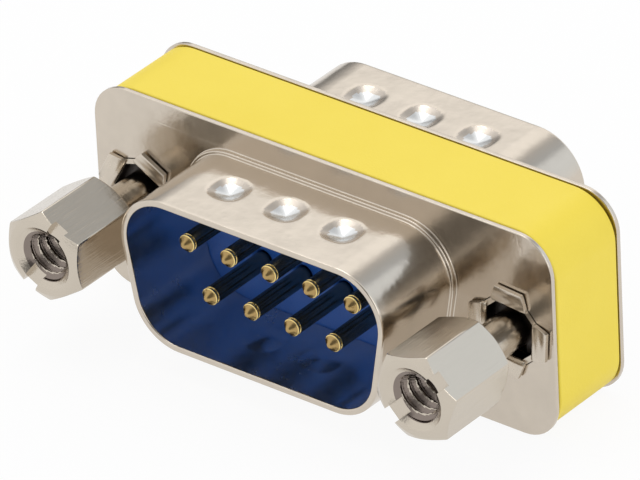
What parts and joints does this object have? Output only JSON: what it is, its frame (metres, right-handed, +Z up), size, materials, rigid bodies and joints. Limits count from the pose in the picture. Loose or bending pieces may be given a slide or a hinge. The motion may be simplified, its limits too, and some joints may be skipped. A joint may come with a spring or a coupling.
{
  "type": "d-sub gender changer",
  "caption": "D-sub gender changer with a pin plug at each end, a yellow moulded ring between its flanges and floating hex jackscrews.",
  "frame": {"origin": "centre of the moulded ring's lower face, on which the part stands with the lower edges of its flanges", "axes": "+X along the flanges, +Y from the front plug to the rear plug, +Z up, with the long row of contacts above the short one"},
  "size_m": [0.0308, 0.0199, 0.0123],
  "materials": {
    "shell_plating": "bright nickel plate on drawn steel",
    "plate_plating": "bright nickel plate on pressed steel",
    "screw_plating": "nickel plate on a machined hex",
    "ring_steel": "plain spring steel",
    "blue_insulator": "moulded, satin",
    "gold_contact": "flash gold on turned brass",
    "board_laminate": "masked glass laminate",
    "yellow_band": "moulded, satin"
  },
  "bodies": {
    "housing": {"front_shell": "shell_plating", "rear_shell": "shell_plating", "front_back_plate": "plate_plating", "rear_back_plate": "plate_plating", "front_insulator": "blue_insulator", "rear_insulator": "blue_insulator", "front_pin_1": "gold_contact", "front_pin_2": "gold_contact", "front_pin_3": "gold_contact", "front_pin_4": "gold_contact", "front_pin_5": "gold_contact", "front_pin_6": "gold_contact", "front_pin_7": "gold_contact", "front_pin_8": "gold_contact", "front_pin_9": "gold_contact", "rear_pin_1": "gold_contact", "rear_pin_2": "gold_contact", "rear_pin_3": "gold_contact", "rear_pin_4": "gold_contact", "rear_pin_5": "gold_contact", "rear_pin_6": "gold_contact", "rear_pin_7": "gold_contact", "rear_pin_8": "gold_contact", "rear_pin_9": "gold_contact", "link_board": "board_laminate", "band": "yellow_band"},
    "left_ring": {"left_retaining_ring": "ring_steel"},
    "left_screw": {"left_jackscrew": "screw_plating"},
    "right_ring": {"right_retaining_ring": "ring_steel"},
    "right_screw": {"right_jackscrew": "screw_plating"}
  },
  "joints": [
    {"name": "left_screw_float", "type": "slide", "parent": "housing", "child": "left_ring", "axis": [0, 1, 0], "range_m": [0, 0.0026]},
    {"name": "left_screw_spin", "type": "hinge", "parent": "left_ring", "child": "left_screw", "pos_m": [-0.01249, 0, 0.00615], "axis": [0, 1, 0], "continuous": true},
    {"name": "right_screw_float", "type": "slide", "parent": "housing", "child": "right_ring", "axis": [0, 1, 0], "range_m": [0, 0.0026]},
    {"name": "right_screw_spin", "type": "hinge", "parent": "right_ring", "child": "right_screw", "pos_m": [0.01249, 0, 0.00615], "axis": [0, 1, 0], "continuous": true}
  ]
}
